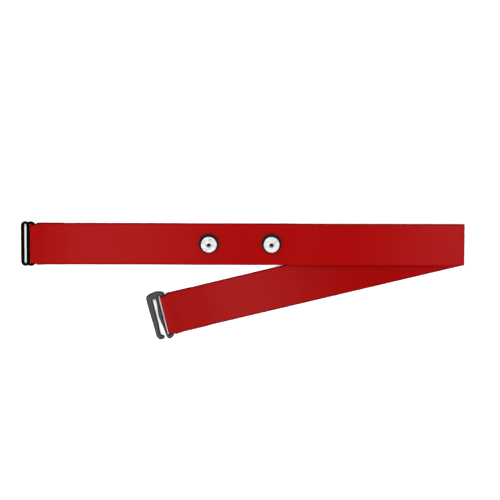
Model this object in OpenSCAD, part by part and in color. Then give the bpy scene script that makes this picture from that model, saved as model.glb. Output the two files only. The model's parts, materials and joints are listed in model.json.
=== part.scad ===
// Elastic chest strap for a clip-on sensor, laid down folded once, as it lies on a table.
// Origin: midway between the two snap studs, on the plane where the sensor's underside rests.
// +X runs along the front run towards the fold, +Y across the strap, +Z up from the table.

/* [Strap] */
// Width of the elastic webbing
strap_w = 31; // [29:0.2:32]
// Thickness of the webbing
strap_t = 1.4; // [1.3:0.05:1.5]
// Distance from the middle of the snaps to the slider's sewn bar
slider_reach = 151.5; // [145:0.5:165]
// Distance from the middle of the snaps to the outside of the fold
fold_reach = 164.6; // [155:0.2:175]
// Angle between the two runs, seen from above
run_angle = 13.6; // [12:0.2:15]
// Sideways place of the return run's centre line at the fold
fold_side = 0.3; // [0:0.1:1]
// Length of the return run, from the outside of the fold to its end loop
return_len = 227.2; // [215:0.2:235]
// Length of webbing sewn back under each end
tail_len = 22; // [18:1:26]

/* [Snaps] */
// Distance between the snap centres
snap_pitch = 46; // [44:0.5:48]
// Diameter of each snap disc
disc_d = 12; // [11:0.1:13]
// Height of the disc's face above the webbing
disc_rise = 2.6; // [2.2:0.1:3]
// Diameter of each stud
stud_d = 5.4; // [5:0.1:6]
// Height of each stud above the disc's face
stud_h = 3; // [2.6:0.1:3.4]
// Diameter of the dimple in the stud's end
dimple_d = 3.1; // [2.6:0.1:3.4]
// Depth of the dimple
dimple_depth = 1.2; // [0.8:0.1:1.2]
// Diameter of the black washer
washer_d = 14.2; // [13.6:0.1:15]
// Thickness of the black washer
washer_t = 0.5; // [0.4:0.1:0.8]
// How far each washer sits off the snap's centre, on its slack
washer_slack = 0.5; // [0:0.1:0.6]

/* [Electrodes] */
// Length of each electrode pad
pad_len = 96; // [80:1:100]
// Width of each electrode pad
pad_w = 22; // [18:1:24]
// Thickness of each electrode pad
pad_t = 0.8; // [0.6:0.1:0.9]
// Thickness of the bonding film
film_t = 0.2; // [0.1:0.05:0.3]
// Border of the film round each pad
film_border = 1.5; // [1:0.5:2.5]
// Distance from the middle of the strap to each pad's inner end
pad_start = 12; // [8:1:15]

/* [Slider] */
// Width of the left and right bars
bar_w = 2.4; // [2.2:0.1:2.4]
// Width of the middle bar
mid_bar_w = 2.3; // [2:0.1:2.6]
// Width of each window
slider_gap = 1.8; // [1.8:0.1:2.2]
// Overall height of the slider, across the strap
slider_h = 33.2; // [33.2:0.2:35]
// Height of each window
window_h = 29.4; // [29.4:0.1:30]
// Thickness of the slider
slider_t = 1.6; // [1.4:0.1:1.8]

/* [Hook] */
// Thickness of the hook
hook_t = 2.2; // [1.8:0.1:2.4]
// Radius of the hook's sewn bar
hook_bar_r = 1.4; // [1.2:0.1:1.4]

/* [Hidden] */
$fn = 64;

// Heights above the table of the webbing's underside
cap_t = 0.8;
cross_gap = 0.4;
pad_level = pad_t + film_t;
snap_level = cap_t + pad_level;
cross_level = strap_t + pad_level + cross_gap;
seat_level = snap_level + strap_t + disc_rise;

// Where the front run changes level, along X
merge_len = 10;
settle_len = 10;
slider_x = -slider_reach;
merge_x = slider_x + merge_len;
tail_x = slider_x + tail_len;
settle_x = tail_x + settle_len;
lift_x = -64;
snap_flat_x = 32;
cross_x = 52;

// The fold: a half ring between the two runs, with a short flat stub on each side
stub_len = 4;
fold_in_r = (cross_level - strap_t) / 2;
fold_out_r = fold_in_r + strap_t;
ring_x = fold_reach - fold_out_r;
stub_x = ring_x - stub_len;
half_w = strap_w / 2;

// End loops round the slider's and the hook's sewn bars
neck_half_w = window_h / 2 - 0.25;
neck_start = 2;
neck_end = 5;
slider_slack = 0.1;
hook_slack = 0.15;
slider_loop_in = bar_w / 2 + slider_slack;
slider_loop_out = slider_loop_in + strap_t;
hook_loop_in = hook_bar_r + hook_slack;
hook_loop_out = hook_loop_in + strap_t;
hook_bar_u = return_len - hook_loop_out;
hook_tail_u = hook_bar_u - tail_len;
hook_merge_u = hook_bar_u - merge_len;

// How far each end fitting tips down until its free edge touches the table
slider_span = bar_w + slider_gap + mid_bar_w + slider_gap + bar_w / 2;
slider_droop = droop(slider_loop_out, slider_span, slider_t / 2);
hook_reach = 9.9;
hook_span = hook_loop_out + hook_reach;
hook_droop = droop(hook_loop_out, hook_span, hook_t / 2);

// Fitting details
overlap = 0.2;
sewn_window_r = 0.4;
free_window_r = 0.8;
hook_corner_r = 0.45;
hook_window_half = neck_half_w + 0.35;

// Snap and stitch details
disc_round = 0.7;
groove_depth = 0.25;
groove_low = 0.5;
groove_high = 1.1;
stud_round = 0.6;
post_r = 1.6;
post_fit = 0.05;
blind_t = 0.4;
washer_clear = 0.3;
cap_d = 9;
cap_round = 0.4;
stitch_r = 0.25;
stitch_len = 2.2;
stitch_pitch = 3;
stitch_proud = 0.1;
first_row = 1.5;
last_row = 2;

function ease(t) = t * t * (3 - 2 * t);

// Angle at which a flat piece on an axis at that height reaches down to the table
function droop(height, span, half_t) = asin(height / norm([span, half_t])) - atan(half_t / span);

// Height that goes smoothly from z0 at x0 to z1 at x1 and is level outside that stretch
function step_to(x, x0, x1, z0, z1) = z0 + (z1 - z0) * ease(min(max((x - x0) / (x1 - x0), 0), 1));

function samples(x0, x1, n) = [for (i = [0:n]) x0 + (x1 - x0) * i / n];

// Underside of the front run above the table
function front_z(x) =
    x < (merge_x + tail_x) / 2 ? step_to(x, slider_x, merge_x, slider_loop_out + slider_loop_in, strap_t)
    : x < settle_x ? step_to(x, tail_x, settle_x, strap_t, pad_level)
    : x < 0 ? step_to(x, lift_x, -snap_flat_x, pad_level, snap_level)
    : step_to(x, snap_flat_x, cross_x, snap_level, cross_level);

// Underside of the return run above the table, u along the run from the fold
function return_z(u) =
    u < (hook_tail_u + hook_merge_u) / 2 ? step_to(u, hook_tail_u - settle_len, hook_tail_u, 0, strap_t)
    : step_to(u, hook_merge_u, hook_bar_u, strap_t, hook_loop_out + hook_loop_in);

front_xs = concat(samples(slider_x, merge_x, 10), samples(tail_x, settle_x, 4),
    samples(lift_x, -snap_flat_x, 6), samples(snap_flat_x, cross_x, 6), [stub_x]);
return_us = concat([-10], samples(hook_tail_u - settle_len, hook_tail_u, 4),
    samples(hook_merge_u, hook_bar_u, 10));

// Puts children, drawn above the table, into the part's frame
module on_table() {
    translate([0, 0, -seat_level]) children();
}

// Local frame of the return run: X along the run from the fold, Y towards its lower edge
module along_return() {
    translate([fold_reach, fold_side, 0]) rotate([0, 0, 180 + run_angle]) children();
}

// A side view, drawn in X and Z, given a width across the strap
module across(width) {
    rotate([90, 0, 0]) linear_extrude(width, center = true) children();
}

// Half of a webbing loop, open towards +X, centred at the bar
module loop_side(r_in, r_out) {
    difference() {
        circle(r = r_out);
        circle(r = r_in);
        translate([0, -r_out - 1]) square([r_out + 1, 2 * r_out + 2]);
    }
}

// Outline of a strap end in plan: narrow at the loop, full width beyond it, open towards +X
module necked_plan(loop_x, far_x) {
    end_x = loop_x - 2 * hook_loop_out;
    polygon([[end_x, -neck_half_w], [loop_x + neck_start, -neck_half_w], [loop_x + neck_end, -half_w],
        [far_x, -half_w], [far_x, half_w], [loop_x + neck_end, half_w],
        [loop_x + neck_start, neck_half_w], [end_x, neck_half_w]]);
}

module rounded_plan(x0, x1, width, r) {
    hull() {
        for (x = [x0 + r, x1 - r], y = [-width / 2 + r, width / 2 - r]) {
            translate([x, y]) circle(r = r, $fn = 32);
        }
    }
}

// A layer that follows the front run's underside, between two heights relative to it
module front_layer(xs, low, high) {
    count = len(xs);
    polygon(concat([for (x = xs) [x, front_z(x) + low]],
        [for (i = [1:count]) [xs[count - i], front_z(xs[count - i]) + high]]));
}

module strap_front_run() {
    color([0.66, 0.07, 0.07]) on_table() difference() {
        intersection() {
            across(strap_w) {
                front_layer(front_xs, 0, strap_t);
                translate([slider_x, slider_loop_out]) loop_side(slider_loop_in, slider_loop_out);
                translate([slider_x, 0]) square([tail_len, strap_t]);
            }
            linear_extrude(4 * seat_level, center = true) necked_plan(slider_x, stub_x);
        }
        for (side = [-1, 1]) {
            translate([side * snap_pitch / 2, 0, 0]) cylinder(r = post_r + post_fit, h = seat_level);
        }
    }
}

// The return run's flat strip between two distances from the snaps, cut square to the front run
module return_strip(x0, x1) {
    intersection() {
        along_return() translate([-10, -half_w, 0]) cube([strap_w, strap_w, strap_t]);
        translate([x0, -strap_w, 0]) cube([x1 - x0, 2 * strap_w, strap_t]);
    }
}

module strap_fold_bend() {
    color([0.6, 0.05, 0.05]) on_table() {
        translate([ring_x, 0, fold_out_r]) across(strap_w) mirror([1, 0])
            loop_side(fold_in_r, fold_out_r);
        translate([stub_x, -half_w, cross_level]) cube([ring_x - stub_x, strap_w, strap_t]);
        return_strip(stub_x, ring_x);
    }
}

module strap_back_run() {
    count = len(return_us);
    color([0.64, 0.1, 0.1]) on_table() intersection() {
        along_return() intersection() {
            across(strap_w) {
                polygon(concat([for (u = return_us) [u, return_z(u)]],
                    [for (i = [1:count]) [return_us[count - i], return_z(return_us[count - i]) + strap_t]]));
                translate([hook_bar_u, hook_loop_out]) mirror([1, 0]) loop_side(hook_loop_in, hook_loop_out);
                translate([hook_tail_u, 0]) square([tail_len, strap_t]);
            }
            linear_extrude(4 * seat_level, center = true) mirror([1, 0]) necked_plan(-hook_bar_u, strap_w);
        }
        translate([stub_x - 2 * return_len, -return_len, -1])
            cube([2 * return_len, 2 * return_len, 2 * seat_level]);
    }
}

// Rounded rectangle with its corners turned in by r
module window(x0, width, height, r) {
    hull() {
        for (x = [x0 + r, x0 + width - r], y = [-height / 2 + r, height / 2 - r]) {
            translate([x, y]) circle(r = r, $fn = 32);
        }
    }
}

// One of the slider's two overlapping rings, a long slot shape from x0
module slider_ring(x0, width) {
    translate([x0 + width / 2, 0]) {
        square([width, slider_h - width], center = true);
        for (side = [-1, 1]) {
            translate([0, side * (slider_h - width) / 2]) circle(d = width);
        }
    }
}

// Slider drawn with its sewn bar's axis at the origin and its free bar towards -X
module slider() {
    ring_w = bar_w + slider_gap + mid_bar_w;
    mid_x = -bar_w / 2 - slider_gap - mid_bar_w;
    color([0.03, 0.03, 0.03]) on_table() translate([slider_x, 0, slider_loop_out])
        rotate([0, -slider_droop, 0]) {
            linear_extrude(slider_t, center = true) difference() {
                union() {
                    slider_ring(mid_x, ring_w);
                    slider_ring(mid_x - slider_gap - bar_w, ring_w);
                }
                window(-bar_w / 2 - slider_gap, slider_gap, window_h, sewn_window_r);
                window(mid_x - slider_gap, slider_gap, window_h, free_window_r);
                square([bar_w + overlap, window_h], center = true);
            }
            intersection() {
                rotate([90, 0, 0]) cylinder(d = bar_w, h = window_h + 2 * overlap, center = true);
                cube([bar_w, window_h + 2 * overlap, slider_t], center = true);
            }
        }
}

// Outline of the hook: X outwards from the strap's end, Y across the strap
module hook_outline() {
    bar = -hook_loop_out;
    polygon([
        // top bridge, from the outer arm to the sewn bar
        [hook_reach, 13.4], [9.7, 16.1], [6.9, 17.6], [1.5, 18.6], [-1.7, 17.9], [-3.6, 17.2],
        [bar - 1.4, 15.5],
        // sewn bar and bottom bump
        [bar - 1.4, -15.5], [-2.6, -17.4], [0, -18.3], [1.3, -17],
        // outside of the middle arm, up to the slot's top
        [1.7, -14], [2.3, -9.3], [3.2, -4.4], [3.75, 0.3], [3.2, 7], [2.8, 12.2], [3.3, 13.2], [4.2, 13.5],
        [5.2, 13.2], [5.6, 12.2],
        // outer arm, down to the tip and back up
        [5.45, 4], [5.45, -5], [5.7, -13.9], [4.4, -14.4], [3.2, -15.1], [3.1, -16.3], [3.7, -17.2],
        [7.4, -17.4], [9, -14.6], [9.2, -5], [9.7, 4]]);
}

module g_hook() {
    bar_x = -hook_loop_out;
    bar_len = 2 * (hook_window_half + overlap);
    color([0.16, 0.16, 0.17]) on_table() along_return() translate([hook_bar_u, 0, hook_loop_out])
        rotate([0, hook_droop, 0]) {
            linear_extrude(hook_t, center = true) translate([-bar_x, 0]) mirror([0, 1]) difference() {
                offset(r = hook_corner_r, $fn = 32) offset(delta = -hook_corner_r) hook_outline();
                // the webbing's window, a little wider towards the top bridge
                polygon([[bar_x - 2, -hook_window_half], [0.65, -hook_window_half], [0.95, -6],
                    [0.95, hook_window_half], [bar_x - 2, hook_window_half]]);
            }
            intersection() {
                rotate([90, 0, 0]) cylinder(r = hook_bar_r, h = bar_len, center = true);
                cube([3 * hook_bar_r, bar_len, hook_t], center = true);
            }
        }
}

module snap_washer(side) {
    color([0.04, 0.04, 0.04]) on_table()
        translate([side * snap_pitch / 2, washer_slack, snap_level + strap_t]) difference() {
            cylinder(d = washer_d, h = washer_t);
            cylinder(r = post_r + washer_slack + washer_clear, h = washer_t);
        }
}

// Side view of a disc with its stud, from the washer up, drawn from the axis outwards
module stud_profile() {
    base = washer_t - disc_rise;
    stud_r = stud_d / 2;
    difference() {
        union() {
            translate([0, base]) square([disc_d / 2 - disc_round, disc_rise - washer_t]);
            translate([0, base]) square([disc_d / 2, disc_rise - washer_t - disc_round]);
            translate([disc_d / 2 - disc_round, -disc_round]) circle(r = disc_round, $fn = 32);
            square([stud_r, stud_h - stud_round]);
            square([stud_r - stud_round, stud_h]);
            translate([stud_r - stud_round, stud_h - stud_round]) circle(r = stud_round, $fn = 32);
        }
        translate([stud_r - groove_depth, groove_low]) square([1, groove_high - groove_low]);
        translate([0, stud_h - dimple_depth]) square([dimple_d / 2, stud_h]);
        translate([0, base]) square([post_r + post_fit, disc_rise - washer_t - blind_t]);
        translate([-stud_d, base - 1]) square([stud_d, 3 * stud_h]);
    }
}

module snap_stud(side) {
    color([0.8, 0.8, 0.78]) translate([side * snap_pitch / 2, 0, 0]) rotate_extrude() stud_profile();
}

module snap_post(side) {
    top = seat_level - blind_t - post_fit;
    color([0.75, 0.75, 0.73]) on_table() translate([side * snap_pitch / 2, 0, 0]) {
        cylinder(r = post_r, h = top);
        translate([0, 0, cap_round]) cylinder(d = cap_d, h = cap_t - cap_round);
        cylinder(d1 = cap_d - 2 * cap_round, d2 = cap_d, h = cap_round);
    }
}

// A skin-side layer on one side of the strap, with a hole for the snap's post
module electrode_layer(side, low, high, x0, x1, width) {
    inner = min(side * x0, side * x1);
    outer = max(side * x0, side * x1);
    levels = [for (x = front_xs) if (x > inner && x < outer) x];
    on_table() difference() {
        intersection() {
            across(strap_w) front_layer(concat([inner], levels, [outer]), low, high);
            linear_extrude(seat_level) rounded_plan(inner, outer, width, width / 4);
        }
        translate([side * snap_pitch / 2, 0, 0]) cylinder(r = post_r + post_fit, h = seat_level);
    }
}

module electrode_pad(side) {
    color([0.1, 0.1, 0.1])
        electrode_layer(side, -pad_level, -film_t, pad_start, pad_start + pad_len, pad_w);
}

module bonding_film(side) {
    color([0.25, 0.25, 0.25]) electrode_layer(side, -film_t, 0, pad_start - film_border,
        pad_start + pad_len + film_border, pad_w + 2 * film_border);
}

// Rows of stitches across the strap at x, lying half sunk in the faces at the two heights
module stitch_row(x, low, high) {
    count = floor((strap_w - 2 * stitch_pitch) / stitch_pitch);
    for (i = [0:count], z = [low, high]) {
        translate([x, (i - count / 2) * stitch_pitch, z]) rotate([90, 0, 0])
            cylinder(r = stitch_r, h = stitch_len, center = true, $fn = 16);
    }
}

module slider_end_stitching() {
    color([0.6, 0.06, 0.06]) on_table() {
        for (x = [merge_x + first_row, tail_x - last_row]) {
            stitch_row(x, stitch_r, 2 * strap_t + stitch_proud);
        }
    }
}

module hook_end_stitching() {
    color([0.6, 0.06, 0.06]) on_table() along_return() {
        for (u = [hook_merge_u - first_row, hook_tail_u + last_row]) {
            stitch_row(u, stitch_r, 2 * strap_t + stitch_proud);
        }
    }
}

strap_front_run();
strap_fold_bend();
strap_back_run();
slider();
g_hook();
snap_washer(-1);  // left_snap_washer
snap_washer(1);  // right_snap_washer
snap_stud(-1);  // left_snap_stud
snap_stud(1);  // right_snap_stud
snap_post(-1);  // left_snap_post
snap_post(1);  // right_snap_post
electrode_pad(-1);  // left_electrode_pad
electrode_pad(1);  // right_electrode_pad
bonding_film(-1);  // left_bonding_film
bonding_film(1);  // right_bonding_film
slider_end_stitching();
hook_end_stitching();
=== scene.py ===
import json
import math
import random

import bmesh
import bpy
from mathutils import Matrix, Vector
from mathutils.geometry import tessellate_polygon


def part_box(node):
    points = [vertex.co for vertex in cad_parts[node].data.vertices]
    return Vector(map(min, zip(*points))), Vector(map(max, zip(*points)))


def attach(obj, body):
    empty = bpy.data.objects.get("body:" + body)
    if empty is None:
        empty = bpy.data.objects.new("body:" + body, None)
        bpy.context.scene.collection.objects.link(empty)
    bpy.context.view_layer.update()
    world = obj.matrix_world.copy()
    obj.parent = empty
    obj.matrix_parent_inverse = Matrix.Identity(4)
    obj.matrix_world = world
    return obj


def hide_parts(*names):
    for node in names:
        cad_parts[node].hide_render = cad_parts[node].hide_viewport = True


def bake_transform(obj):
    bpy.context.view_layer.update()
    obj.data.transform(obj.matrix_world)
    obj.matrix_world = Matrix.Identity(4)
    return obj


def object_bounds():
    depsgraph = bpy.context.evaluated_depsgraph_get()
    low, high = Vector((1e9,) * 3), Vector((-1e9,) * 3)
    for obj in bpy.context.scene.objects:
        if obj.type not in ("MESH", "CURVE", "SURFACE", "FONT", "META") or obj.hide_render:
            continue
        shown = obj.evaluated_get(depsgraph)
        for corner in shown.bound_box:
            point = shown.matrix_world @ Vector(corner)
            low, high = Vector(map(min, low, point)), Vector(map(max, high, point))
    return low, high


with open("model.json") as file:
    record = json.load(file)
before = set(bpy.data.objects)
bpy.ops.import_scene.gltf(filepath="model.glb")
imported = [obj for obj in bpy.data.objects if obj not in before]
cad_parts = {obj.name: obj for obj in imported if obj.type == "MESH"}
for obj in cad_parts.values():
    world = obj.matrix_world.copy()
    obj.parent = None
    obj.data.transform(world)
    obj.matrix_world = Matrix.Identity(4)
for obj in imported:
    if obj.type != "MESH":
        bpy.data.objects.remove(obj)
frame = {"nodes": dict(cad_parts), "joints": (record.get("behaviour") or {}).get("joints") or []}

MM = 0.001
CAD_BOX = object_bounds()
JOINTS = {joint["name"]: joint for joint in frame["joints"]}
TABLE = CAD_BOX[0].z

# Webbing: its section, its end loops and sewn tails, and its weave
STRAP_T = 1.4 * MM
HALF_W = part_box("strap_front_run")[1].y
# Its ends narrow to pass through the slider and the hook, at these distances from the loops
NECK_HALF_W = 14.45 * MM
NECK_START, NECK_END = 1.3 * MM, 3.1 * MM
TAIL = 22 * MM
MERGE = 10 * MM
# How far the hook's loop is drawn in from its place in the CAD
LOOP_SNUG = 0.3 * MM
SKIN = 0.02 * MM
RIB_PITCH = 1.0 * MM
RIB_DEPTH = 0.03 * MM
SELVEDGE = 0.9 * MM
PICK_PITCH = 0.8 * MM
# Lengths along the strap: its whole, where the runs cross, and the middle of the fold
STRAP_TOTAL = 600 * MM
CROSSING_AT = 205 * MM
FOLD_AT = 344.9 * MM
RED = (0.21, 0.0016, 0.0016)
DEEP_RED = (0.202, 0.0006, 0.0006)
# The pale red is the lighter colour of the painted sheen on the webbing, and of the thread's plies
SHEEN_AND_PLY_RED = (0.226, 0.0085, 0.0085)
PICK_RED = (0.15, 0.0006, 0.0006)
# The edge red is painted shade, darkening the webbing's rims and the crease at the fold
RIM_SHADE_RED = (0.1, 0.0004, 0.0004)
# Bands in from the edges, where the bead and the painted shade of the dark rim begin and end, and the band
# of painted shade in the crease at the fold
BEAD_BAND = (1.8 * MM, 1.1 * MM)
RIM_SHADE_BAND = (0.95 * MM, 0.6 * MM)
CREASE_SHADE_BAND = (0.75 * MM, 1.35 * MM)
# Painted shade: over these lengths past the fold the return run is darkened by up to a tenth
SHADE_PAST_FOLD = (20 * MM, 60 * MM)
# How gradually the painted rim shade appears: over the webbing's middle, past the crossing and up to the
# fold
MIDDLE_FADE, CROSSING_FADE, FOLD_FADE = 1 * MM, 10 * MM, 6 * MM
# Painted sheen, 0 to 1, at lengths along the webbing from the slider's end: lighter patches that stand in
# for soft reflections
SHEEN_TONES = [(0, 0.1), (38 * MM, 0.12), (62 * MM, 0.68), (100 * MM, 0.72), (150 * MM, 0.15),
              (200 * MM, 0.02), (285 * MM, 0.05), (325 * MM, 0.7), (348 * MM, 0.65), (365 * MM, 0),
              (450 * MM, 0), (490 * MM, 0.8), (525 * MM, 1.0), (550 * MM, 0.1), (600 * MM, 0)]

# Front run: heights of its underside above the table, and where they change
SLIDER_X = JOINTS["slider_swing"]["pos_m"][0]
SLIDER_LOOP = JOINTS["slider_swing"]["pos_m"][2] - TABLE
PAD_LEVEL, SNAP_LEVEL, CROSS_LEVEL = 1.0 * MM, 1.8 * MM, 2.8 * MM
LIFT_X, SNAP_FLAT_X, CROSS_X = -64 * MM, 32 * MM, 52 * MM
SETTLE = 10 * MM

# Fold, return run and hook end
FOLD_OUT_R = (CROSS_LEVEL + STRAP_T) / 2
FOLD_RECESS = 0.7 * MM
FOLD_X = CAD_BOX[1].x
RING_X = FOLD_X - FOLD_OUT_R
STUB_X = RING_X - 4 * MM
STRAIGHTEN = 40 * MM
HOOK_AT = Vector(JOINTS["hook_swing"]["pos_m"])
HOOK_AXIS = Vector(JOINTS["hook_swing"]["axis"])
RUN_DIR = Vector((-HOOK_AXIS.y, HOOK_AXIS.x, 0)).normalized()
RUN_SIDE = Vector((0, 0, 1)).cross(RUN_DIR)
HOOK_LOOP = HOOK_AT.z - TABLE

# Snaps and electrodes
STUD_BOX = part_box("right_snap_stud")
SNAP_X = (STUD_BOX[0].x + STUD_BOX[1].x) / 2
DISC_R = (STUD_BOX[1].x - STUD_BOX[0].x) / 2
DISC_BASE = STUD_BOX[0].z
DISC_ROUND, FOOT_ROUND, STUD_ROUND, LIP_ROUND = 0.7 * MM, 0.5 * MM, 0.55 * MM, 0.3 * MM
STUD_R = 2.7 * MM
# The washer is drawn wider than the real one, its extra black standing in for painted contact shadow round
# the disc; it sits shifted towards the far (+y) edge
WASHER_R, WASHER_HOLE_R, WASHER_T, WASHER_SHIFT = 7.4 * MM, 2.4 * MM, 0.5 * MM, 0.6 * MM
CAP_R, CAP_ROUND, SHANK_R, SHANK_TOP = 4.5 * MM, 0.4 * MM, 1.6 * MM, 5.3 * MM
PAD_START, PAD_LEN, PAD_W = 12 * MM, 96 * MM, 22 * MM
FILM_T, FILM_BORDER = 0.2 * MM, 1.5 * MM
PAD_RIB_PITCH, PAD_RIB_DEPTH, PAD_MARGIN = 2.4 * MM, 0.24 * MM, 1.4 * MM
PAD_RIB_FADE = 0.8 * MM
LAYER_EDGE_R, LAYER_EDGE_DROP, LAYER_STEP = 0.5 * MM, 0.25 * MM, 0.5 * MM

# Stitching
THREAD_R = 0.22 * MM
PLY_PITCH = 0.6 * MM
STITCH_LEN, STITCH_PITCH = 2.3 * MM, 3 * MM
STITCH_RISE, STITCH_DIP, STITCH_STRAY = 0.1 * MM, 0.32 * MM, 0.06 * MM
STITCH_ROWS = (MERGE + 1.5 * MM, TAIL - 2 * MM)
# Heights of the stitches' middles above the table, on the upper face and the lower one, with their up
STITCH_LEVELS = ((2 * STRAP_T - 0.12 * MM, 1), (THREAD_R + 0.02 * MM, -1))

# Slider and hook: half width, half thickness and half length of each sewn bar
SLIDER_BAR = (1.2 * MM, 0.8 * MM, 15.2 * MM)
HOOK_BAR = (1.2 * MM, 1.1 * MM, 15.6 * MM)
OUTLINE_STEP = 0.25 * MM
WELD = 0.002 * MM

# Photograph's view
VIEW_CENTRE = Vector((7.2, -4.22, -2.6)) * MM
VIEW_WIDTH = 366.8 * MM
VIEW_TILT = math.radians(10)
VIEW_ROLL = math.radians(0.12)
VIEW_DISTANCE = 2.6


# ---------------------------------------------------------------- materials

def graph(name, colour, roughness, metallic=0.0, specular=0.5):
    """A material with its Principled shader, and functions to add and join nodes."""
    material = bpy.data.materials.new(name)
    material.use_nodes = True
    tree = material.node_tree
    shader = tree.nodes["Principled BSDF"]
    shader.inputs["Base Color"].default_value = (*colour, 1)
    shader.inputs["Roughness"].default_value = roughness
    shader.inputs["Metallic"].default_value = metallic
    shader.inputs["Specular IOR Level"].default_value = specular
    return material, tree, shader


def add(tree, kind, **values):
    """A node of that kind. A value named in_X sets input X, and any other sets a property."""
    made = tree.nodes.new("ShaderNode" + kind)
    for key, value in values.items():
        if key.startswith("in_"):
            made.inputs[int(key[3:])].default_value = value
        else:
            setattr(made, key, value)
    return made


def maths(tree, operation, first, second=0.0):
    """A Math node whose inputs are sockets or numbers. Returns its output."""
    made = add(tree, "Math", operation=operation)
    for index, value in enumerate((first, second)):
        if isinstance(value, bpy.types.NodeSocket):
            tree.links.new(value, made.inputs[index])
        else:
            made.inputs[index].default_value = value
    return made.outputs[0]


def ranged(tree, value, low, high, to_low, to_high, smooth=False):
    """Maps a socket from one range to another, clamped."""
    made = add(tree, "MapRange", in_1=low, in_2=high, in_3=to_low, in_4=to_high)
    if smooth:
        made.interpolation_type = "SMOOTHSTEP"
    tree.links.new(value, made.inputs[0])
    return made.outputs[0]


def mixed(tree, factor, first, second):
    """Mixes two colours, each a socket or three numbers, by a socket."""
    made = add(tree, "Mix", data_type="RGBA")
    tree.links.new(factor, made.inputs["Factor"])
    for index, value in ((6, first), (7, second)):
        if isinstance(value, bpy.types.NodeSocket):
            tree.links.new(value, made.inputs[index])
        else:
            made.inputs[index].default_value = (*value, 1)
    return made.outputs[2]


def noise(tree, vector, scale, detail=3.0):
    made = add(tree, "TexNoise")
    made.inputs["Scale"].default_value = scale
    made.inputs["Detail"].default_value = detail
    tree.links.new(vector, made.inputs["Vector"])
    return made.outputs["Fac"]


def bumped(tree, shader, height, distance, strength=1.0):
    made = add(tree, "Bump")
    made.inputs["Strength"].default_value = strength
    made.inputs["Distance"].default_value = distance
    tree.links.new(height, made.inputs["Height"])
    tree.links.new(made.outputs[0], shader.inputs["Normal"])


def split(tree, vector):
    """The three parts of a vector socket."""
    made = add(tree, "SeparateXYZ")
    tree.links.new(vector, made.inputs[0])
    return made.outputs


def coat(tree, shader, colour, roughness=None):
    """Joins a colour, and a roughness if there is one, to the shader."""
    tree.links.new(colour, shader.inputs["Base Color"])
    if roughness is not None:
        tree.links.new(roughness, shader.inputs["Roughness"])


def object_place(tree):
    return add(tree, "TexCoord").outputs["Object"]


def stretched(tree, vector, scale, rotation=(0, 0, 0)):
    made = add(tree, "Mapping")
    made.inputs["Scale"].default_value = scale
    made.inputs["Rotation"].default_value = rotation
    tree.links.new(vector, made.inputs["Vector"])
    return made.outputs[0]


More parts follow.
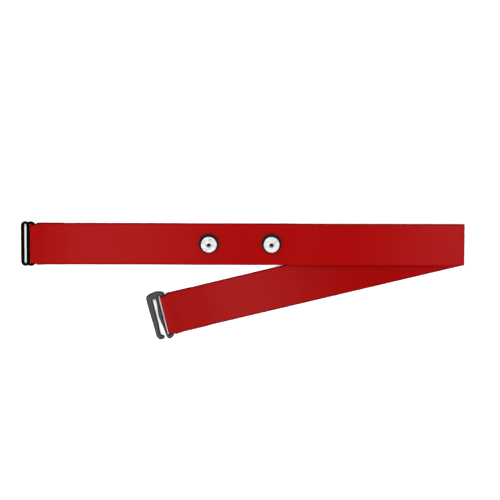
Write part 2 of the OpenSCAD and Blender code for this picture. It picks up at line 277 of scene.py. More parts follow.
def webbing_material():
    """Red ribbed elastic, with painted sheen in patches along it and painted shade at its rims, in the
    fold's crease and past the fold. Its weave_at attribute holds the length along the strap and the place
    across.
    """
    material, tree, shader = graph("red_webbing", RED, 0.85, specular=0.03)
    at = add(tree, "Attribute", attribute_name="weave_at").outputs["Vector"]
    along, across, _ = split(tree, at)
    rib = maths(tree, "FLOOR", maths(tree, "DIVIDE", across, RIB_PITCH / 2))
    turn = maths(tree, "ADD", maths(tree, "MULTIPLY", along, 2 * math.pi / PICK_PITCH),
                 maths(tree, "MULTIPLY", rib, math.pi))
    pick = maths(tree, "SINE", turn)
    fibre = noise(tree, stretched(tree, at, (1, 3, 1)), 2600, 2)
    bumped(tree, shader, maths(tree, "ADD", pick, maths(tree, "MULTIPLY", fibre, 1.2)), 0.03 * MM, 0.6)
    sheen_ramp = add(tree, "ValToRGB")
    ramp = sheen_ramp.color_ramp
    ramp.interpolation = "B_SPLINE"
    for length, sheen_level in SHEEN_TONES:
        stop = ramp.elements.new(length / STRAP_TOTAL)
        stop.color = (sheen_level, sheen_level, sheen_level, 1)
    ramp.elements.remove(ramp.elements[0])
    tree.links.new(maths(tree, "DIVIDE", along, STRAP_TOTAL), sheen_ramp.inputs[0])
    cloud = noise(tree, stretched(tree, at, (1, 0.6, 1)), 25, 2)
    tone = maths(tree, "ADD", sheen_ramp.outputs[0], ranged(tree, cloud, 0.35, 0.65, -0.06, 0.06))
    # Painted sheen: the red is lightened in patches along the strap, with a little random tone from the
    # cloud noise
    body = mixed(tree, tone, DEEP_RED, SHEEN_AND_PLY_RED)
    body = mixed(tree, ranged(tree, pick, -1, 1, 0.16, 0), body, PICK_RED)
    body = mixed(tree, ranged(tree, fibre, 0.3, 0.8, 0, 0.2), body, PICK_RED)
    edge = maths(tree, "ABSOLUTE", across)
    bead = ranged(tree, edge, HALF_W - BEAD_BAND[0], HALF_W - BEAD_BAND[1], 0, 0.35, smooth=True)
    body = mixed(tree, bead, body, RED)
    # Painted shade: the return run darkened past the fold, where the front run shadows it
    shade = ranged(tree, along, FOLD_AT + SHADE_PAST_FOLD[0], FOLD_AT + SHADE_PAST_FOLD[1], 0, 0.1)
    body = mixed(tree, shade, body, (0, 0, 0))
    # Painted shade: a dark rim along the edges, kept off the near (-y) edge between the crossing and the
    # fold
    rim = ranged(tree, edge, HALF_W - RIM_SHADE_BAND[0], HALF_W - RIM_SHADE_BAND[1], 0, 1, smooth=True)
    upper = ranged(tree, across, 0, MIDDLE_FADE, 0, 1)
    before = ranged(tree, along, CROSSING_AT - CROSSING_FADE, CROSSING_AT + CROSSING_FADE, 1, 0)
    apart = maths(tree, "MAXIMUM", before, ranged(tree, along, FOLD_AT - FOLD_FADE, FOLD_AT, 0, 1))
    rim = maths(tree, "MULTIPLY", rim, maths(tree, "MAXIMUM", upper, apart))
    # Painted shade in the crease along the fold
    crease = maths(tree, "ABSOLUTE", maths(tree, "SUBTRACT", along, FOLD_AT))
    rim = maths(tree, "MAXIMUM", rim, ranged(tree, crease, *CREASE_SHADE_BAND, 0.8, 0, smooth=True))
    coat(tree, shader, mixed(tree, rim, body, RIM_SHADE_RED), ranged(tree, fibre, 0.3, 0.8, 0.75, 0.95))
    shader.inputs["Sheen Weight"].default_value = 0.02
    shader.inputs["Sheen Roughness"].default_value = 0.4
    shader.inputs["Sheen Tint"].default_value = (1, 0.1, 0.1, 1)
    return material


def thread_material():
    """Twisted polyester thread. Its weave_at attribute holds the length along and the angle round it."""
    material, tree, shader = graph("red_thread", RED, 0.7, specular=0.05)
    along, around, _ = split(tree, add(tree, "Attribute", attribute_name="weave_at").outputs["Vector"])
    turn = maths(tree, "ADD", maths(tree, "MULTIPLY", along, 2 * math.pi / PLY_PITCH),
                 maths(tree, "MULTIPLY", around, 2))
    ply = maths(tree, "SINE", turn)
    bumped(tree, shader, ply, 0.04 * MM, 0.8)
    coat(tree, shader, mixed(tree, ranged(tree, ply, -1, 1, 0, 1), DEEP_RED, SHEEN_AND_PLY_RED))
    return material


def slider_material():
    """Satin black plastic with faint scuffs along its bars."""
    material, tree, shader = graph("black_slider", (0.0012, 0.0012, 0.0012), 0.5, specular=0.012)
    at = object_place(tree)
    grain = noise(tree, at, 2500, 2)
    scuff = noise(tree, stretched(tree, at, (1, 0.15, 1)), 700, 4)
    bumped(tree, shader, grain, 0.01 * MM, 0.4)
    worn = ranged(tree, scuff, 0.62, 0.75, 0, 1)
    colour = mixed(tree, worn, (0.0006, 0.0006, 0.0006), (0.002, 0.002, 0.002))
    coat(tree, shader, colour, ranged(tree, scuff, 0.3, 0.7, 0.35, 0.6))
    return material


def hook_material(name, dark, light, specular):
    """Satin dark coating with faint slanting streaks."""
    material, tree, shader = graph(name, light, 0.42, specular=specular)
    at = object_place(tree)
    slant = stretched(tree, at, (1, 0.06, 1), (0, 0, math.radians(35)))
    streak = noise(tree, slant, 1500, 4)
    speck = noise(tree, at, 4000, 2)
    bumped(tree, shader, speck, 0.01 * MM, 0.5)
    colour = mixed(tree, ranged(tree, streak, 0.35, 0.7, 0, 1), dark, light)
    coat(tree, shader, colour, ranged(tree, streak, 0.3, 0.7, 0.36, 0.55))
    return material


def nickel_material(name, dark, light, roughness):
    """Nickel plate with a mottled, lightly rubbed face."""
    material, tree, shader = graph(name, light, roughness, metallic=1.0)
    at = object_place(tree)
    mottle = noise(tree, at, 420, 4)
    rub = noise(tree, stretched(tree, at, (1, 0.2, 1), (0, 0, math.radians(20))), 3000, 3)
    bumped(tree, shader, maths(tree, "ADD", mottle, maths(tree, "MULTIPLY", rub, 0.3)), 0.02 * MM, 0.35)
    colour = mixed(tree, ranged(tree, mottle, 0.35, 0.65, 0, 1), dark, light)
    rough = ranged(tree, rub, 0.3, 0.7, roughness * 0.8, roughness * 1.3)
    coat(tree, shader, colour, rough)
    return material


def dimple_material():
    """Nickel in the stud's dimple, with a painted shadow on the side towards the strap's far edge."""
    material, tree, shader = graph("nickel_dimple", (0.2, 0.2, 0.2), 0.45, metallic=1.0)
    at = object_place(tree)
    grime = noise(tree, at, 1500, 3)
    bumped(tree, shader, grime, 0.02 * MM, 0.4)
    place = maths(tree, "ADD", split(tree, at)[1], maths(tree, "MULTIPLY", grime, 0.4 * MM))
    # Painted shadow: the dimple's +y side darkened to near black, its edge broken up by the grime noise
    painted_shadow = ranged(tree, place, -1.1 * MM, -0.3 * MM, 0, 1, smooth=True)
    colour = mixed(tree, painted_shadow, (0.3, 0.295, 0.285), (0.008, 0.008, 0.008))
    coat(tree, shader, colour, ranged(tree, grime, 0.3, 0.7, 0.4, 0.6))
    return material


def washer_material():
    """Finely grained black plastic."""
    material, tree, shader = graph("black_washer", (0.004, 0.004, 0.004), 0.5, specular=0.08)
    at = object_place(tree)
    grain = noise(tree, at, 3200, 3)
    bumped(tree, shader, grain, 0.02 * MM, 0.5)
    colour = mixed(tree, ranged(tree, grain, 0.4, 0.7, 0, 1), (0.003, 0.003, 0.003), (0.008, 0.008, 0.008))
    coat(tree, shader, colour, ranged(tree, grain, 0.3, 0.7, 0.42, 0.62))
    return material


def rubber_material():
    """Conductive rubber, with smudges from handling."""
    material, tree, shader = graph("electrode_rubber", (0.02, 0.02, 0.021), 0.7, specular=0.3)
    at = object_place(tree)
    grain = noise(tree, at, 2200, 4)
    smudge = noise(tree, at, 60, 3)
    bumped(tree, shader, grain, 0.02 * MM, 0.5)
    colour = mixed(tree, ranged(tree, smudge, 0.4, 0.7, 0, 1), (0.014, 0.014, 0.015), (0.03, 0.03, 0.032))
    coat(tree, shader, colour, ranged(tree, smudge, 0.35, 0.7, 0.55, 0.8))
    return material


def film_material():
    """Dark, slightly rippled bonding film."""
    material, tree, shader = graph("bonding_film", (0.05, 0.05, 0.052), 0.4, specular=0.4)
    at = object_place(tree)
    ripple = noise(tree, at, 300, 3)
    bumped(tree, shader, ripple, 0.03 * MM, 0.4)
    colour = mixed(tree, ranged(tree, ripple, 0.35, 0.7, 0, 1), (0.04, 0.04, 0.042), (0.07, 0.07, 0.073))
    coat(tree, shader, colour, ranged(tree, ripple, 0.3, 0.7, 0.3, 0.5))
    return material


def floor_material():
    material, tree, shader = graph("pale_floor", (0.9, 0.9, 0.9), 0.9, specular=0.1)
    grain = noise(tree, object_place(tree), 40, 3)
    coat(tree, shader, mixed(tree, grain, (0.9, 0.9, 0.9), (0.92, 0.92, 0.92)))
    return material


# ---------------------------------------------------------------- mesh tools

def finish_piece(name, bm, materials, body, replaced, smooth_angle=40, flat_normal=None):
    """Turns a bmesh into a piece that rides on a body and stands for CAD nodes."""
    bmesh.ops.recalc_face_normals(bm, faces=bm.faces)
    mesh = bpy.data.meshes.new(name)
    bm.to_mesh(mesh)
    bm.free()
    for polygon in mesh.polygons:
        polygon.use_smooth = flat_normal is None or abs(polygon.normal.dot(flat_normal)) < 0.9999
    mesh.set_sharp_from_angle(angle=math.radians(smooth_angle))
    for material in materials:
        mesh.materials.append(material)
    piece = bpy.data.objects.new(name, mesh)
    bpy.context.scene.collection.objects.link(piece)
    if body:
        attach(piece, body)
    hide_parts(*replaced)
    return piece


def ease(t):
    t = min(max(t, 0.0), 1.0)
    return t * t * (3 - 2 * t)


def level(x, x0, x1, z0, z1):
    return z0 + (z1 - z0) * ease((x - x0) / (x1 - x0))


def spread(start, end, count):
    return [start + (end - start) * i / count for i in range(count + 1)]


def arc(centre, radius, start, end, count):
    """Points on an arc, with angles in degrees."""
    return [(centre[0] + radius * math.cos(math.radians(a)), centre[1] + radius * math.sin(math.radians(a)))
            for a in spread(start, end, count)]


def webbing_section():
    """Upper half of the webbing's cross-section, from one edge to the other: (place across, height)."""
    flat = HALF_W - SELVEDGE
    top = STRAP_T / 2 - SKIN
    bead = [(0, 0), (0.04, 0.3), (0.18, 0.68), (0.38, 0.9), (0.55, 0.94), (0.72, 0.86), (0.82, 0.74)]
    edge = [(HALF_W - depth * MM, share * top) for depth, share in bead]
    steps = round(2 * flat / RIB_PITCH) * 6
    ribs = [(v, top - RIB_DEPTH + RIB_DEPTH * math.cos(2 * math.pi * v / RIB_PITCH))
            for v in spread(flat, -flat, steps)]
    return edge + ribs + [(-v, n) for v, n in reversed(edge)]


def ribbon(rows):
    """A closed strap swept through rows of (centre, half-width vector, outer normal, length so far)."""
    upper = webbing_section()
    loop = upper + [(v, -n) for v, n in reversed(upper[1:-1])]
    bm = bmesh.new()
    place = bm.verts.layers.float_vector.new("weave_at")
    rings = []
    for centre, half, normal, length in rows:
        ring = []
        for v, n in loop:
            vert = bm.verts.new(centre + half * (v / HALF_W) + normal * n)
            vert[place] = (length, v, 0)
            ring.append(vert)
        rings.append(ring)
    count = len(loop)
    for a, b in zip(rings, rings[1:]):
        for i in range(count):
            j = (i + 1) % count
            bm.faces.new((a[i], a[j], b[j], b[i]))
    top_count = len(upper)
    for ring in (rings[0], rings[-1]):
        lower = [ring[0]] + ring[:top_count - 1:-1] + [ring[top_count - 1]]
        for i in range(top_count - 1):
            corners = [ring[i], ring[i + 1], lower[i + 1], lower[i]]
            unique = list(dict.fromkeys(corners))
            bm.faces.new(unique)
    return bm


def path_rows(points, frame_of, so_far):
    """Rows along a path of (along, height), with the length so far. frame_of gives a point's row."""
    rows, length = [], so_far
    for i, point in enumerate(points):
        before, after = points[max(i - 1, 0)], points[min(i + 1, len(points) - 1)]
        tangent = Vector((after[0] - before[0], after[1] - before[1])).normalized()
        if i:
            length += (Vector(point) - Vector(points[i - 1])).length
        rows.append((*frame_of(point, (-tangent.y, tangent.x)), length))
    return rows, length


def lathe(profile, centre, tones, segments=96):
    """A closed solid turned about Z through centre, from a profile of (radius, height).

    The profile starts and ends on the axis. tones gives some of its rows a material other than the first.
    """
    bm = bmesh.new()
    rings = []
    for radius, height in profile:
        if not radius:
            rings.append([bm.verts.new((centre[0], centre[1], centre[2] + height))])
            continue
        rings.append([bm.verts.new((centre[0] + radius * math.cos(2 * math.pi * k / segments),
                                    centre[1] + radius * math.sin(2 * math.pi * k / segments),
                                    centre[2] + height)) for k in range(segments)])
    for row, (a, b) in enumerate(zip(rings, rings[1:])):
        for k in range(segments):
            n = (k + 1) % segments
            corners = [a[k % len(a)], a[n % len(a)], b[n % len(b)], b[k % len(b)]]
            face = bm.faces.new(list(dict.fromkeys(corners)))
            face.material_index = tones.get(row, 0)
    return bm


def ring_solid(profile, centre, segments=96):
    """A closed ring turned about Z through centre, from a closed profile of (radius, height)."""
    bm = bmesh.new()
    rings = [[bm.verts.new((centre[0] + radius * math.cos(2 * math.pi * k / segments),
                            centre[1] + radius * math.sin(2 * math.pi * k / segments),
                            centre[2] + height)) for k in range(segments)] for radius, height in profile]
    for a, b in zip(rings, rings[1:] + rings[:1]):
        for k in range(segments):
            n = (k + 1) % segments
            bm.faces.new((a[k], a[n], b[n], b[k]))
    return bm


# ---------------------------------------------------------------- webbing

def front_under(x):
    """Height above the table of the front run's underside."""
    merge_x, tail_x = SLIDER_X + MERGE, SLIDER_X + TAIL
    if x < (merge_x + tail_x) / 2:
        return level(x, SLIDER_X, merge_x, 2 * SLIDER_LOOP - STRAP_T, STRAP_T)
    if x < tail_x + SETTLE:
        return level(x, tail_x, tail_x + SETTLE, STRAP_T, PAD_LEVEL)
    if x < 0:
        return level(x, LIFT_X, -SNAP_FLAT_X, PAD_LEVEL, SNAP_LEVEL)
    return level(x, SNAP_FLAT_X, CROSS_X, SNAP_LEVEL, CROSS_LEVEL)


def necked(distance):
    """Share of the full half width at that distance from an end loop."""
    share = ease((distance - NECK_START) / (NECK_END - NECK_START))
    return (NECK_HALF_W + (HALF_W - NECK_HALF_W) * share) / HALF_W


def front_webbing(material):
    """The front run, from its sewn tail round the slider's bar and over the pads to the fold."""
    mid_r = SLIDER_LOOP - STRAP_T / 2
    xs = (spread(SLIDER_X, SLIDER_X + MERGE, 20)[1:] + spread(SLIDER_X + MERGE, STUB_X, 120)[1:])
    points = [(x, TABLE + STRAP_T / 2) for x in spread(SLIDER_X + TAIL, SLIDER_X, 16)]
    points += arc((SLIDER_X, TABLE + SLIDER_LOOP), mid_r, -90, -270, 28)[1:]
    points += [(x, TABLE + front_under(x) + STRAP_T / 2) for x in xs]

    def row(point, normal):
        half = Vector((0, HALF_W * necked(point[0] - SLIDER_X), 0))
        return Vector((point[0], 0, point[1])), half, Vector((normal[0], 0, normal[1]))

    rows, length = path_rows(points, row, 0)
    piece = finish_piece("front_webbing", ribbon(rows), [material], "front_run",
                         ["strap_front_run"])
    return length


def return_side(x):
    """Centre line of the return run at x."""
    return HOOK_AT.y + (x - HOOK_AT.x) * RUN_DIR.y / RUN_DIR.x


def fold_webbing(material, so_far):
    """The fold. Its far edge stays hidden behind the front run's, and its near edge turns with the run."""
    mid_r = FOLD_OUT_R - STRAP_T / 2
    top, low = TABLE + CROSS_LEVEL + STRAP_T / 2, TABLE + STRAP_T / 2
    points = [(x, top) for x in spread(STUB_X, RING_X, 6)]
    points += arc((RING_X, TABLE + FOLD_OUT_R), mid_r, 90, -90, 28)[1:]
    points += [(x, low) for x in spread(RING_X, STUB_X, 6)[1:]]
    wide = HALF_W / abs(RUN_DIR.x)

    def row(point, normal):
        turned = ease((top - point[1]) / (top - low))
        side = turned * return_side(point[0])
        half = HALF_W + (wide - HALF_W) * turned
        far, near = min(side + half, HALF_W - FOLD_RECESS * turned), side - half
        centre = Vector((point[0], (far + near) / 2, point[1]))
        return centre, Vector((0, (far - near) / 2, 0)), Vector((normal[0], 0, normal[1]))

    rows, length = path_rows(points, row, so_far)
    piece = finish_piece("fold_webbing", ribbon(rows), [material], None, ["strap_fold_bend"])
    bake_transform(piece)
    return length


def back_webbing(material, so_far):
    """The return run, from a start cut square to the front run to its loop round the hook's bar."""
    start_u = (STUB_X - HOOK_AT.x) / RUN_DIR.x
    mid_r = HOOK_LOOP - STRAP_T / 2
    tail_u = -TAIL

    def under(u):
        if u < (tail_u - MERGE) / 2:
            return level(u, tail_u - SETTLE, tail_u, 0, STRAP_T)
        return level(u, -MERGE, 0, STRAP_T, 2 * HOOK_LOOP - STRAP_T)

    us = spread(start_u, tail_u - SETTLE, 70) + spread(tail_u - SETTLE, -MERGE, 30)[1:]
    us += spread(-MERGE, -LOOP_SNUG, 20)[1:]
    points = [(u, TABLE + under(u) + STRAP_T / 2) for u in us]
    points += arc((-LOOP_SNUG, TABLE + HOOK_LOOP), mid_r, 90, -90, 28)[1:]
    points += [(u, TABLE + STRAP_T / 2) for u in spread(-LOOP_SNUG, tail_u, 16)[1:]]
    slant = math.atan2(-RUN_DIR.y, -RUN_DIR.x)

    def row(point, normal):
        turn = slant * (1 - ease((point[0] - start_u) / STRAIGHTEN))
        side = Matrix.Rotation(-turn, 3, "Z") @ -RUN_SIDE
        half = -side * (HALF_W * necked(-point[0]) / math.cos(turn))
        centre = Vector((HOOK_AT.x, HOOK_AT.y, 0)) + RUN_DIR * point[0]
        centre.z = point[1]
        return centre, half, RUN_DIR * normal[0] + Vector((0, 0, normal[1]))

    rows, length = path_rows(points, row, so_far)
    piece = finish_piece("back_webbing", ribbon(rows), [material], "back_run",
                         ["strap_back_run"])


# ---------------------------------------------------------------- stitching

def add_stitch(bm, place, centre, along, up, rise, luck):
    """One stitch: a short thread that dips into the webbing at both ends."""
    sides, steps = 8, 8
    out = along.cross(up)
    rings = []
    for t in spread(-1, 1, steps):
        dip = rise * (1 - t * t) - STITCH_DIP * t ** 4
        at = centre + along * (t * STITCH_LEN / 2) + up * dip + out * (luck * (1 - t * t))
        thick = THREAD_R * (1 - 0.35 * t ** 4)
        ring = []
        for k in range(sides):
            turn = 2 * math.pi * k / sides
            vert = bm.verts.new(at + (out * math.cos(turn) + up * math.sin(turn)) * thick)
            vert[place] = (t * STITCH_LEN / 2, turn, 0)
            ring.append(vert)
        rings.append(ring)
    for a, b in zip(rings, rings[1:]):
        for k in range(sides):
            n = (k + 1) % sides
            bm.faces.new((a[k], a[n], b[n], b[k]))
    bm.faces.new(rings[0])
    bm.faces.new(rings[-1])


def stitching(name, node, body, material, rows, side, seed):
    """Stitches across a sewn tail, on both faces. rows are points on the strap's centre line."""
    rng = random.Random(seed)
    bm = bmesh.new()
    place = bm.verts.layers.float_vector.new("weave_at")
    count = int((2 * HALF_W - 2 * STITCH_PITCH) / STITCH_PITCH)
    for middle in rows:
        for i in range(count + 1):
            offset = side * ((i - count / 2) * STITCH_PITCH)
            luck = rng.uniform(-1, 1) * STITCH_STRAY
            for height, up in STITCH_LEVELS:
                at = middle + offset + Vector((0, 0, TABLE + height))
                rise = STITCH_RISE if up > 0 else 0.0
                add_stitch(bm, place, at, side, Vector((0, 0, up)), rise, luck)
    return finish_piece(name, bm, [material], body, [node])


# ---------------------------------------------------------------- fittings

def boundary_loops(bm, normal):
    """Closed loops of points round the flat top, with the material on the left of each."""
    top = {f for f in bm.faces if f.normal.dot(normal) > 0.9999}
    follow = {}
    for face in top:
        for loop in face.loops:
            if sum(other in top for other in loop.edge.link_faces) == 1:
                follow[loop.vert] = loop.link_loop_next.vert
    loops = []
    while follow:
        vert, ahead = follow.popitem()
        points = [vert.co.copy()]
        while ahead in follow:
            points.append(ahead.co.copy())
            ahead = follow.pop(ahead)
        loops.append(points)
    return loops


def smoothed(points, step, passes):
    """A closed loop resampled at an even step, with its corners softened."""
    count = len(points)
    sides = [(points[i], points[(i + 1) % count]) for i in range(count)]
    total = sum((b - a).length for a, b in sides)
    wanted = max(12, round(total / step))
    even, reached, target = [], 0.0, 0.0
    for a, b in sides:
        side = (b - a).length
        while target <= reached + side and len(even) < wanted:
            even.append(a.lerp(b, (target - reached) / side if side else 0))
            target += total / wanted
        reached += side
    for _ in range(passes):
        even = [(even[i - 1] + 2 * even[i] + even[(i + 1) % wanted]) / 4 for i in range(wanted)]
    return even


def inset(points, depth):
    """The loop moved into the material, which lies on its left."""
    moved = []
    for i, point in enumerate(points):
        before = (point - points[i - 1]).normalized()
        after = (points[(i + 1) % len(points)] - point).normalized()
        along = (before + after).normalized()
        moved.append(point + Vector((-along.y, along.x, 0)) * depth)
    return moved


def plate(node, name, materials, body, origin, out, rounding, passes, bar):
    """The CAD node's flat plate with smooth outlines and rounded edges, and its round sewn bar.

    The last material covers the rounded edges. bar is (half width, half thickness, half length).
    """
    source = bmesh.new()
    source.from_mesh(frame["nodes"][node].data)
    bmesh.ops.remove_doubles(source, verts=source.verts, dist=WELD)
    side = Vector((0, 0, 1)).cross(out)
    flat = Matrix((out, side, (0, 0, 1))).to_4x4()
    source.transform(flat @ Matrix.Translation(-origin))
    source.normal_update()
    widest = max((f for f in source.faces if f.normal.z > 0.5), key=lambda f: f.calc_area())
    droop = math.atan2(widest.normal.x, widest.normal.z)
    source.transform(Matrix.Rotation(-droop, 4, "Y"))
    source.normal_update()
    edges = boundary_loops(source, Vector((0, 0, 1)))
    loops = [smoothed(points, OUTLINE_STEP, passes) for points in edges]
    half_t = max(v.co.z for v in source.verts)
    source.free()
    bm = bmesh.new()
    steps = 5
    turns = [math.pi / 2 * k / steps for k in range(steps + 1)]
    shape = [(rounding * (1 - math.cos(a)), half_t - rounding * (1 - math.sin(a))) for a in turns]
    shape = [(depth, -z) for depth, z in reversed(shape)] + shape
    caps = ([], [])
    for points in loops:
        rings = []
        for depth, z in shape:
            rings.append([bm.verts.new((p.x, p.y, z)) for p in inset(points, depth)])
        for a, b in zip(rings, rings[1:]):
            for k in range(len(points)):
                n = (k + 1) % len(points)
                bm.faces.new((a[k], a[n], b[n], b[k])).material_index = len(materials) - 1
        caps[0].append(rings[0])
        caps[1].append(rings[-1])
    for rings in caps:
        verts = [v for ring in rings for v in ring]
        for triangle in tessellate_polygon([[v.co for v in ring] for ring in rings]):
            if len(set(triangle)) == 3:
                bm.faces.new([verts[k] for k in triangle])
    add_bar(bm, *bar, len(materials) - 1)
    turned = flat.inverted() @ Matrix.Rotation(droop, 4, "Y")
    bm.transform(Matrix.Translation(origin) @ turned)
    finish_piece(name, bm, materials, body, [node], smooth_angle=60,
                 flat_normal=turned.to_3x3().col[2])


def add_bar(bm, half_w, half_t, half_l, material_index):
    """A round-sided bar along Y through the origin."""
    sides = 32
    turns = [2 * math.pi * k / sides for k in range(sides)]
    rings = [[bm.verts.new((half_w * math.cos(a), y, half_t * math.sin(a))) for a in turns]
             for y in (-half_l, half_l)]
    for k in range(sides):
        n = (k + 1) % sides
        bm.faces.new((rings[0][k], rings[0][n], rings[1][n], rings[1][k])).material_index = material_index
    for ring in rings:
        bm.faces.new(ring).material_index = material_index


def in_mm(points):
    return [(radius * MM, height * MM) for radius, height in points]


def stud_outline():
    """The profile of a disc and stud, and which of its rows take the second material, painted shade on the
    disc's rounded side, and which the dimple's.
    """
    outline = [(0, DISC_BASE), (DISC_R - 0.8 * MM, DISC_BASE)]
    outline += arc((DISC_R - 0.65 * MM, DISC_BASE + FOOT_ROUND), FOOT_ROUND, -90, -10, 6)
    outline += arc((DISC_R - DISC_ROUND, -DISC_ROUND), DISC_ROUND, 0, 90, 10)
    tones = {row: 1 for row in range(1, 15)}
    outline += in_mm([(4.9, -0.03), (4.5, -0.16), (4, -0.26), (3.3, -0.28)])
    outline += arc((2.95 * MM, 0.22 * MM), 0.5 * MM, -90, -180, 6)
    outline += in_mm([(2.45, 0.7), (2.52, 0.95), (2.66, 1.2), (2.7, 1.5), (2.7, 2.2)])
    outline += arc((STUD_R - STUD_ROUND, 2.45 * MM), STUD_ROUND, 0, 90, 8)
    outline += arc((1.85 * MM, 2.7 * MM), LIP_ROUND, 90, 180, 6)
    dimple_row = len(outline)
    outline += in_mm([(1.52, 2.3), (1.48, 0.9), (1.2, 0.6), (0.6, 0.5), (0, 0.5)])
    tones.update({row: 2 for row in range(dimple_row, len(outline))})
    return outline, tones


def washer_outline():
    """Washer with a rounded rim and a fine groove in its top, as a closed profile."""
    ring = [(WASHER_HOLE_R, 0), (WASHER_R, 0)]
    ring += arc((WASHER_R - 0.2 * MM, 0.3 * MM), 0.2 * MM, 0, 90, 5)
    ring += in_mm([(6.6, 0.5), (6.4, 0.42), (6.2, 0.5)])
    return ring + [(WASHER_HOLE_R, WASHER_T)]


def post_outline():
    """The post: a flat cap with a shallow sunk middle on the skin side, and its shank."""
    outline = in_mm([(0, 0.35), (0.9, 0.32), (1.2, 0.12)])
    outline += arc((1.75 * MM, 0.25 * MM), 0.25 * MM, 230, 290, 5)
    outline += in_mm([(2.3, 0.08), (3.4, 0.1)])
    outline += arc((CAP_R - CAP_ROUND, CAP_ROUND), CAP_ROUND, -80, 90, 10)
    return outline + [(SHANK_R, 2 * CAP_ROUND), (SHANK_R, SHANK_TOP), (0, SHANK_TOP)]


def snap(side_name, side, nickel, wall_shade, dimple, washer):
    """One snap: the disc with its stud, the washer under it, and the post that holds them."""
    x = side * SNAP_X
    top = TABLE + SNAP_LEVEL + STRAP_T
    outline, tones = stud_outline()
    finish_piece(f"{side_name}_stud", lathe(outline, (x, 0, 0), tones), [nickel, wall_shade, dimple], "front_run",
                 [f"{side_name}_snap_stud"])
    finish_piece(f"{side_name}_washer", ring_solid(washer_outline(), (x, WASHER_SHIFT, top)), [washer],
                 "front_run", [f"{side_name}_snap_washer"])
    finish_piece(f"{side_name}_post", lathe(post_outline(), (x, 0, TABLE), {}), [nickel], "front_run",
                 [f"{side_name}_snap_post"])


def layer(name, node, side, low, high, border, material, ribs):
    """A rounded skin-side layer that follows the front run between two heights from its underside."""
    inner, outer = PAD_START - border, PAD_START + PAD_LEN + border
    half = PAD_W / 2 + border
    corner = half / 2
    steps, columns = 2 * round((outer - inner) / LAYER_STEP), 24
    bm = bmesh.new()
    faces = {0: [], 1: []}
    for i in range(steps + 1):
        run = (outer - inner) * (0.5 - 0.5 * math.cos(math.pi * i / steps)) if not ribs else \
            (outer - inner) * i / steps
        near = min(run, outer - inner - run, corner)
        wide = half - corner + math.sqrt(max(corner ** 2 - (corner - near) ** 2, 0))
        x = side * (inner + run)
        base = TABLE + front_under(x)
        for which in (0, 1):
            row = []
            for j in range(columns + 1):
                t = 2 * j / columns - 1
                y = wide * math.sin(t * math.pi / 2)
                rim = min(run, outer - inner - run, wide - abs(y))
                z = base + (high if which else low)
                if not which:
                    z += LAYER_EDGE_DROP * (1 - ease(rim / LAYER_EDGE_R))
                    if ribs:
                        inside = ease((min(rim, half - abs(y)) - PAD_MARGIN) / PAD_RIB_FADE)
                        wave = 1 - math.cos(2 * math.pi * run / PAD_RIB_PITCH)
                        z += PAD_RIB_DEPTH / 2 * inside * wave
                row.append(bm.verts.new((x, y, z)))
            faces[which].append(row)
    for which in (0, 1):
        for a, b in zip(faces[which], faces[which][1:]):
            for j in range(columns):
                bm.faces.new((a[j], a[j + 1], b[j + 1], b[j]))
    low_rows, high_rows = faces[0], faces[1]
    for j in range(columns):
        for k in (0, -1):
            bm.faces.new((low_rows[k][j], low_rows[k][j + 1], high_rows[k][j + 1], high_rows[k][j]))
    for i in range(steps):
        for j in (0, -1):
            bm.faces.new((low_rows[i][j], low_rows[i + 1][j], high_rows[i + 1][j], high_rows[i][j]))
    return finish_piece(name, bm, [material], "front_run", [node])


# ---------------------------------------------------------------- scene

def add_floor():
    size = 12.0
    bm = bmesh.new()
    bmesh.ops.create_grid(bm, x_segments=8, y_segments=8, size=size)
    mesh = bpy.data.meshes.new("floor")
    bm.to_mesh(mesh)
    bm.free()
    mesh.materials.append(floor_material())
    floor = bpy.data.objects.new("floor", mesh)
    floor.location.z = TABLE
    bpy.context.scene.collection.objects.link(floor)


def add_light():
    """A soft dome with a dim horizon, and one large soft key from the strap's far side."""
    world = bpy.data.worlds.new("studio")
    world.use_nodes = True
    bpy.context.scene.world = world
    tree = world.node_tree
    direction = add(tree, "TexCoord").outputs["Generated"]
    height = maths(tree, "ABSOLUTE", split(tree, direction)[2])
    glow = ranged(tree, height, 0.03, 0.45, 0.35, 1.95, smooth=True)
    dome = tree.nodes["Background"]
    dome.inputs["Color"].default_value = (1, 1, 1, 1)
    tree.links.new(glow, dome.inputs["Strength"])
    lamp = bpy.data.lights.new("key", "AREA")
    lamp.shape = "RECTANGLE"
    lamp.size, lamp.size_y = 1.2, 0.8
    lamp.energy = 9
    key = bpy.data.objects.new("key", lamp)
    key.location = (-0.5, 0.9, 1.2)
    key.rotation_euler = (Vector((0, 0, TABLE)) - key.location).to_track_quat("-Z", "Y").to_euler()
    key.visible_camera = False
    bpy.context.scene.collection.objects.link(key)


def add_camera():
    data = bpy.data.cameras.new("camera")
    data.sensor_width = 36
    data.lens = data.sensor_width * VIEW_DISTANCE / VIEW_WIDTH
    data.clip_start, data.clip_end = 0.1, 50
    camera = bpy.data.objects.new("camera", data)
    back = Vector((0, math.sin(VIEW_TILT), math.cos(VIEW_TILT)))
    up = Vector((0, math.cos(VIEW_TILT), -math.sin(VIEW_TILT)))
    turn = Matrix((up.cross(back), up, back)).transposed() @ Matrix.Rotation(VIEW_ROLL, 3, "Z")
    camera.matrix_world = Matrix.Translation(VIEW_CENTRE + back * VIEW_DISTANCE) @ turn.to_4x4()
    bpy.context.scene.collection.objects.link(camera)
    bpy.context.scene.camera = camera


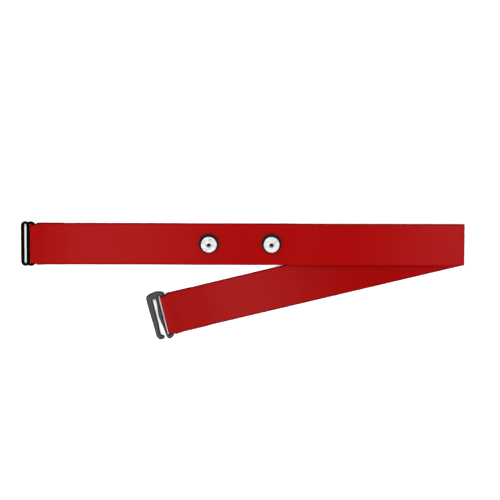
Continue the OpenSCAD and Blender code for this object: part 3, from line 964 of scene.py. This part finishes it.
def build():
    webbing, thread = webbing_material(), thread_material()
    length = front_webbing(webbing)
    length = fold_webbing(webbing, length)
    back_webbing(webbing, length)
    front_rows = [Vector((SLIDER_X + d, 0, 0)) for d in STITCH_ROWS]
    stitching("slider_end_thread", "slider_end_stitching", "front_run", thread, front_rows,
              Vector((0, 1, 0)), 1)
    hook_ground = Vector((HOOK_AT.x, HOOK_AT.y, 0))
    back_rows = [hook_ground - RUN_DIR * d for d in STITCH_ROWS]
    stitching("hook_end_thread", "hook_end_stitching", "back_run", thread, back_rows, RUN_SIDE, 2)
    plate("slider", "slider_body", [slider_material()], "slider",
          Vector(JOINTS["slider_swing"]["pos_m"]), Vector((1, 0, 0)), rounding=0.3 * MM, passes=2,
          bar=SLIDER_BAR)
    hook_face = hook_material("hook_face", (0.022, 0.022, 0.0225), (0.04, 0.04, 0.041), 0.12)
    # The edge material is a near-black copy of the face: painted shade on the hook's rounded edges and its
    # sewn bar
    hook_edge = hook_material("hook_edge", (0.001, 0.001, 0.001), (0.003, 0.003, 0.003), 0.05)
    plate("g_hook", "hook_body", [hook_face, hook_edge], "g_hook", HOOK_AT, RUN_DIR,
          rounding=0.55 * MM, passes=8, bar=HOOK_BAR)
    nickel = nickel_material("nickel", (0.36, 0.355, 0.347), (0.55, 0.545, 0.532), 0.3)
    # A dark copy of the nickel: painted shade on the disc's rounded side
    wall_shade = nickel_material("nickel_wall", (0.02, 0.02, 0.02), (0.05, 0.05, 0.05), 0.5)
    dimple = dimple_material()
    washer, rubber, film = washer_material(), rubber_material(), film_material()
    for side_name, side in (("left", -1), ("right", 1)):
        snap(side_name, side, nickel, wall_shade, dimple, washer)
        layer(f"{side_name}_pad", f"{side_name}_electrode_pad", side, -PAD_LEVEL, -FILM_T, 0, rubber,
              ribs=True)
        layer(f"{side_name}_film", f"{side_name}_bonding_film", side, -FILM_T, 0, FILM_BORDER, film,
              ribs=False)


bpy.context.scene.view_settings.view_transform = "Standard"
add_camera()
add_floor()
add_light()
build()
